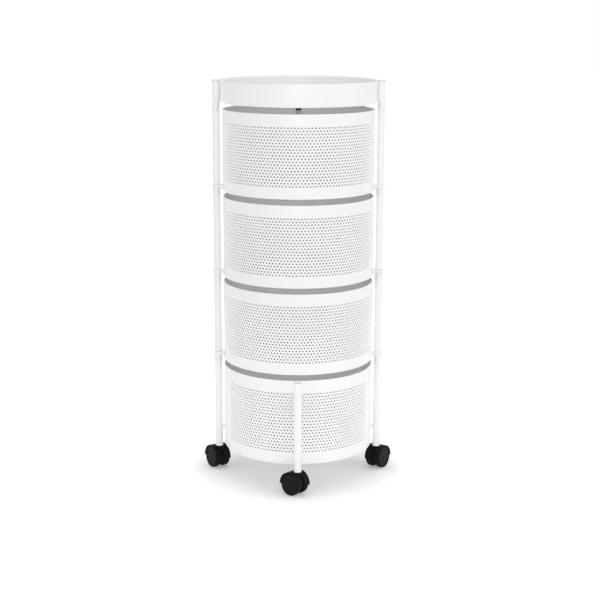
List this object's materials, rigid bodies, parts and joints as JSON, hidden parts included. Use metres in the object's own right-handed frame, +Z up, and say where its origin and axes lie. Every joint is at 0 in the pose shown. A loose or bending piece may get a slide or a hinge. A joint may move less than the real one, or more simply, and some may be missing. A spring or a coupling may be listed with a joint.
{
  "type": "rotating storage organizer",
  "caption": "Tall round storage tower: stacked perforated metal baskets that swing out on side posts, a shallow tray on top and hooded twin-wheel casters.",
  "frame": {"origin": "on the ground under the middle of the baskets, midway between the two posts", "axes": "+Z up, -Y towards the front, +X towards the right-hand post seen from the front"},
  "size_m": [0.3758, 0.3616, 0.769],
  "materials": {
    "powder_coat": "white satin powder coat on steel sheet and tube",
    "white_plastic": "white satin plastic",
    "black_plastic": "matt black moulded plastic",
    "wheel_plastic": "matt black moulded plastic wheel",
    "zinc": "zinc-plated steel",
    "rubber": "black rubber"
  },
  "bodies": {
    "frame": {"top_tray": "powder_coat", "base_basket_wall": "powder_coat", "base_basket_floor": "powder_coat", "left_post_leg": "powder_coat", "left_post_lower_tube": "powder_coat", "left_post_middle_tube": "powder_coat", "left_post_upper_tube": "powder_coat", "left_post_tray_tube": "powder_coat", "left_post_cap": "white_plastic", "right_post_leg": "powder_coat", "right_post_lower_tube": "powder_coat", "right_post_middle_tube": "powder_coat", "right_post_upper_tube": "powder_coat", "right_post_tray_tube": "powder_coat", "right_post_cap": "white_plastic", "front_leg": "powder_coat", "rear_leg": "powder_coat", "left_spacer": "powder_coat", "left_caster_socket": "black_plastic", "right_spacer": "powder_coat", "right_caster_socket": "black_plastic", "front_spacer": "powder_coat", "front_caster_socket": "black_plastic", "rear_spacer": "powder_coat", "rear_caster_socket": "black_plastic"},
    "lower_basket": {"lower_basket_wall": "powder_coat", "lower_basket_floor": "powder_coat", "lower_basket_collar": "powder_coat", "lower_basket_hook": "powder_coat"},
    "middle_basket": {"middle_basket_wall": "powder_coat", "middle_basket_floor": "powder_coat", "middle_basket_collar": "powder_coat", "middle_basket_hook": "powder_coat"},
    "upper_basket": {"upper_basket_wall": "powder_coat", "upper_basket_floor": "powder_coat", "upper_basket_collar": "powder_coat", "upper_basket_hook": "powder_coat", "stop_peg": "zinc", "stop_pad": "rubber"},
    "left_caster": {"left_caster_hood": "black_plastic", "left_caster_stem": "zinc", "left_caster_axle": "zinc"},
    "left_caster_left_wheel": {"left_caster_left_wheel": "wheel_plastic"},
    "left_caster_right_wheel": {"left_caster_right_wheel": "wheel_plastic"},
    "right_caster": {"right_caster_hood": "black_plastic", "right_caster_stem": "zinc", "right_caster_axle": "zinc"},
    "right_caster_left_wheel": {"right_caster_left_wheel": "wheel_plastic"},
    "right_caster_right_wheel": {"right_caster_right_wheel": "wheel_plastic"},
    "front_caster": {"front_caster_hood": "black_plastic", "front_caster_stem": "zinc", "front_caster_axle": "zinc"},
    "front_caster_left_wheel": {"front_caster_left_wheel": "wheel_plastic"},
    "front_caster_right_wheel": {"front_caster_right_wheel": "wheel_plastic"},
    "rear_caster": {"rear_caster_hood": "black_plastic", "rear_caster_stem": "zinc", "rear_caster_axle": "zinc"},
    "rear_caster_left_wheel": {"rear_caster_left_wheel": "wheel_plastic"},
    "rear_caster_right_wheel": {"rear_caster_right_wheel": "wheel_plastic"}
  },
  "joints": [
    {"name": "lower_basket_swing", "type": "hinge", "parent": "frame", "child": "lower_basket", "pos_m": [-0.157, 0, 0.231], "axis": [0, 0, -1], "range_deg": [0, 180]},
    {"name": "middle_basket_swing", "type": "hinge", "parent": "frame", "child": "middle_basket", "pos_m": [0.157, 0, 0.396], "axis": [0, 0, 1], "range_deg": [0, 180]},
    {"name": "upper_basket_swing", "type": "hinge", "parent": "frame", "child": "upper_basket", "pos_m": [-0.157, 0, 0.561], "axis": [0, 0, -1], "range_deg": [0, 180]},
    {"name": "left_caster_swivel", "type": "hinge", "parent": "frame", "child": "left_caster", "pos_m": [-0.157, 0, 0.0456], "axis": [0, 0, 1], "continuous": true},
    {"name": "left_caster_left_wheel_spin", "type": "hinge", "parent": "left_caster", "child": "left_caster_left_wheel", "pos_m": [-0.15196, 0.01162, 0.021], "axis": [-0.8387, -0.5446, 0], "continuous": true},
    {"name": "left_caster_right_wheel_spin", "type": "hinge", "parent": "left_caster", "child": "left_caster_right_wheel", "pos_m": [-0.16966, 0.00013, 0.021], "axis": [-0.8387, -0.5446, 0], "continuous": true},
    {"name": "right_caster_swivel", "type": "hinge", "parent": "frame", "child": "right_caster", "pos_m": [0.157, 0, 0.0456], "axis": [0, 0, 1], "continuous": true},
    {"name": "right_caster_left_wheel_spin", "type": "hinge", "parent": "right_caster", "child": "right_caster_left_wheel", "pos_m": [0.16966, 0.00013, 0.021], "axis": [-0.8387, 0.5446, 0], "continuous": true},
    {"name": "right_caster_right_wheel_spin", "type": "hinge", "parent": "right_caster", "child": "right_caster_right_wheel", "pos_m": [0.15196, 0.01162, 0.021], "axis": [-0.8387, 0.5446, 0], "continuous": true},
    {"name": "front_caster_swivel", "type": "hinge", "parent": "frame", "child": "front_caster", "pos_m": [0, -0.157, 0.0456], "axis": [0, 0, 1], "continuous": true},
    {"name": "front_caster_left_wheel_spin", "type": "hinge", "parent": "front_caster", "child": "front_caster_left_wheel", "pos_m": [0.00186, -0.14448, 0.021], "axis": [-0.6691, -0.7431, 0], "continuous": true},
    {"name": "front_caster_right_wheel_spin", "type": "hinge", "parent": "front_caster", "child": "front_caster_right_wheel", "pos_m": [-0.01226, -0.16016, 0.021], "axis": [-0.6691, -0.7431, 0], "continuous": true},
    {"name": "rear_caster_swivel", "type": "hinge", "parent": "frame", "child": "rear_caster", "pos_m": [0, 0.157, 0.0456], "axis": [0, 0, 1], "continuous": true},
    {"name": "rear_caster_left_wheel_spin", "type": "hinge", "parent": "rear_caster", "child": "rear_caster_left_wheel", "pos_m": [-0.01226, 0.16016, 0.021], "axis": [0.6691, -0.7431, 0], "continuous": true},
    {"name": "rear_caster_right_wheel_spin", "type": "hinge", "parent": "rear_caster", "child": "rear_caster_right_wheel", "pos_m": [0.00186, 0.14448, 0.021], "axis": [0.6691, -0.7431, 0], "continuous": true}
  ]
}
